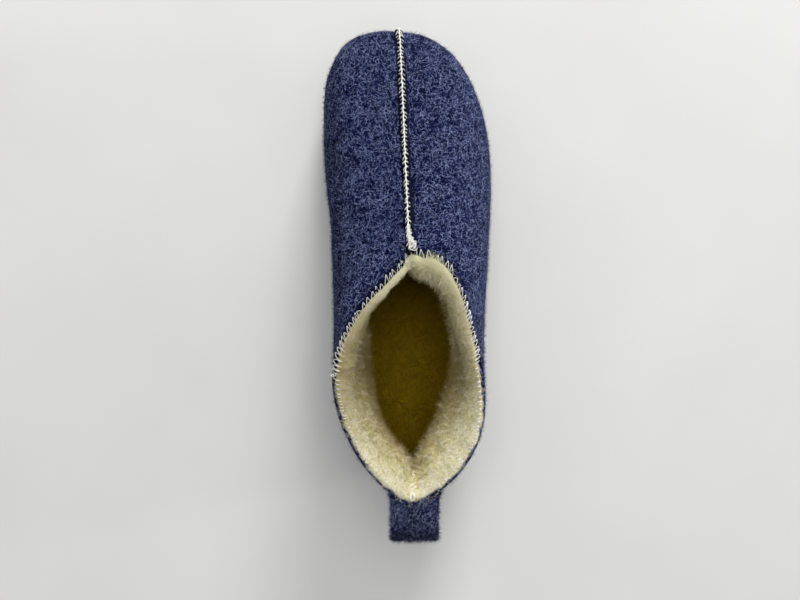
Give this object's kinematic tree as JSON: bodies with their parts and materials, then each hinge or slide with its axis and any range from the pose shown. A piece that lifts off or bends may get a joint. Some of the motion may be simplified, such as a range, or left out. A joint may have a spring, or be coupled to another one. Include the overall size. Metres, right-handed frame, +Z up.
{
  "type": "slipper boot",
  "caption": "Ankle-high felt slipper boot for the right foot, with a hollow upper, a raised seam along the vamp, a thin rubber sole, a loose insole and a pull loop at the heel.",
  "frame": {"origin": "centre of the bounding box in plan, on the floor under the sole", "axes": "+Y to the toe, +Z up from the floor, +X to the outer (lateral) side of the right foot"},
  "size_m": [0.1007, 0.2989, 0.108],
  "materials": {
    "rubber": "matt moulded rubber",
    "felt": "thick mottled wool felt",
    "fleece": "deep cream wool pile"
  },
  "bodies": {
    "root": {"outsole": "rubber", "upper": "felt", "insole": "fleece", "pull_loop": "felt"}
  },
  "joints": []
}
